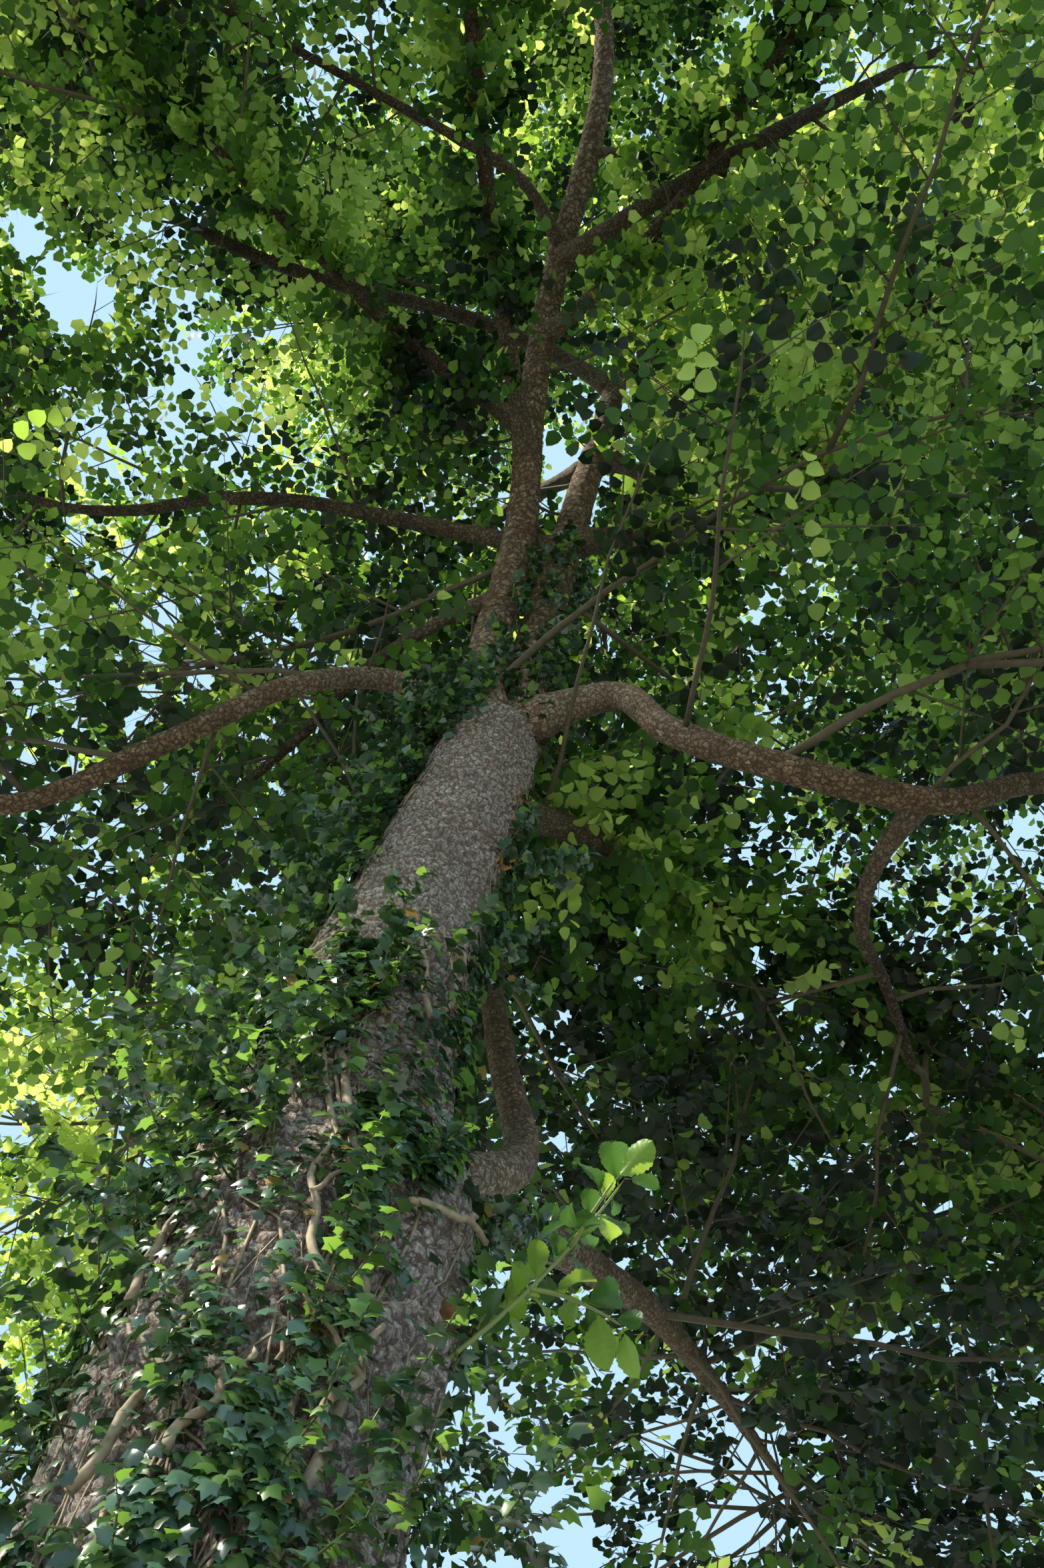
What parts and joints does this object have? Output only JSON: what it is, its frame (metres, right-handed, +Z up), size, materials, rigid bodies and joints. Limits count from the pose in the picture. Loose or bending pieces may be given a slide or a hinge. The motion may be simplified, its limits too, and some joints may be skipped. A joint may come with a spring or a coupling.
{
  "type": "black alder tree",
  "caption": "Whole black alder: a leaning, ivy-clad trunk that forks into upright stems, with spreading boughs and a full crown of leafy masses, rooted in level ground.",
  "frame": {"origin": "middle of the flat cut under the trunk, at ground level", "axes": "+Z up, +Y away from the side the picture is taken from, +X to that viewer's right"},
  "size_m": [12.0836, 14.701, 18.2354],
  "materials": {
    "bark": "rough scaly bark",
    "bough_bark": "rough young bark",
    "foliage": "satin leaves",
    "ivy": "glossy leaves",
    "fresh_leaf": "satin leaves"
  },
  "bodies": {
    "root": {"burl_shoot": "fresh_leaf", "far_bough": "bough_bark", "far_foliage": "foliage", "far_left_bough": "bough_bark", "far_left_foliage": "foliage", "far_right_bough": "bough_bark", "far_right_foliage": "foliage", "far_upper_left_bough": "bough_bark", "far_upper_left_foliage": "foliage", "ivy_back": "ivy", "ivy_front": "ivy", "ivy_left": "ivy", "left_back_bough": "bough_bark", "left_back_foliage": "foliage", "left_low_bough": "bough_bark", "left_low_foliage": "foliage", "left_middle_bough": "bough_bark", "left_middle_foliage": "foliage", "left_thin_foliage": "foliage", "low_outward_bough": "bough_bark", "low_outward_foliage": "foliage", "low_rising_bough": "bough_bark", "low_rising_foliage": "foliage", "near_bough": "bough_bark", "near_foliage": "foliage", "near_left_bough": "bough_bark", "near_left_foliage": "foliage", "near_right_bough": "bough_bark", "near_right_foliage": "foliage", "near_shoulder_foliage": "foliage", "near_stem": "bark", "near_stem_top_foliage": "foliage", "near_top_bough": "bough_bark", "near_top_foliage": "foliage", "rear_back_bough": "bough_bark", "rear_back_foliage": "foliage", "rear_back_left_bough": "bough_bark", "rear_back_left_foliage": "foliage", "rear_back_right_bough": "bough_bark", "rear_back_right_foliage": "foliage", "rear_right_bough": "bough_bark", "rear_right_foliage": "foliage", "rear_stem": "bark", "rear_stem_top_foliage": "foliage", "rear_top_left_bough": "bough_bark", "rear_top_left_foliage": "foliage", "rear_top_right_bough": "bough_bark", "rear_top_right_foliage": "foliage", "right_bough": "bough_bark", "right_bough_foliage": "foliage", "right_hanging_bough": "bough_bark", "right_hanging_foliage": "foliage", "right_upper_foliage": "foliage", "trunk": "bark", "upper_left_bough": "bough_bark", "upper_left_foliage": "foliage", "upper_right_bough": "bough_bark", "upper_right_foliage": "foliage", "upper_right_thin_bough": "bough_bark", "upper_right_thin_foliage": "foliage"}
  },
  "joints": []
}
